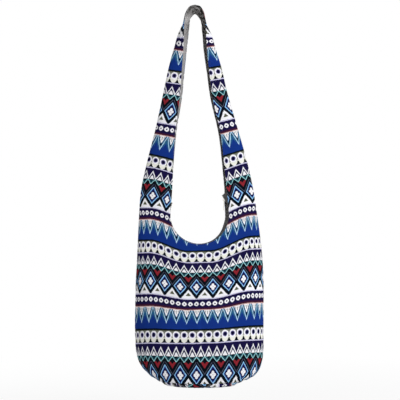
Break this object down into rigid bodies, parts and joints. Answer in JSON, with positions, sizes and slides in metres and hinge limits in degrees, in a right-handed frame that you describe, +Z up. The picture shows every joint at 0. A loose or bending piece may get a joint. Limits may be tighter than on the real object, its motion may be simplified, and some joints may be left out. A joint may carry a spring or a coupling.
{
  "type": "shoulder bag",
  "caption": "Soft shoulder bag of printed canvas with a round mouth, a strap in one with its panels, a lining, an oval base and a zip, hanging from its strap.",
  "frame": {"origin": "where the hook carries the strap, on the lining's underside at the top of the strap", "axes": "+Z up, the front of the bag towards -Y, the slider's end of the zip towards +X"},
  "size_m": [0.3179, 0.1134, 0.9571],
  "materials": {
    "front_print": "printed cotton canvas, plain weave",
    "back_print": "printed cotton canvas, plain weave",
    "base_print": "printed cotton canvas, plain weave",
    "front_lining_cotton": "plain grey cotton",
    "back_lining_cotton": "plain grey cotton",
    "base_lining_cotton": "plain grey cotton",
    "tape_cloth": "woven zip tape",
    "teeth_plastic": "moulded teeth",
    "zip_metal": "dull nickel plating"
  },
  "bodies": {
    "bag": {"front_panel": "front_print", "back_panel": "back_print", "base_panel": "base_print", "front_lining": "front_lining_cotton", "back_lining": "back_lining_cotton", "base_lining": "base_lining_cotton", "front_zip_tape": "tape_cloth", "back_zip_tape": "tape_cloth", "front_zip_teeth": "teeth_plastic", "back_zip_teeth": "teeth_plastic", "front_zip_stop": "zip_metal", "back_zip_stop": "zip_metal", "zip_bottom_stop": "zip_metal"},
    "slider": {"zip_slider": "zip_metal"},
    "pull": {"zip_pull": "zip_metal"}
  },
  "joints": [
    {"name": "zip_travel", "type": "hinge", "parent": "bag", "child": "slider", "pos_m": [0.01125, 0, -0.5025], "axis": [0, 1, 0], "range_deg": [0, 226]},
    {"name": "pull_swing", "type": "hinge", "parent": "slider", "child": "pull", "pos_m": [0.07161, 0, -0.46473], "axis": [0, 1, 0], "range_deg": [-22, 138]}
  ]
}
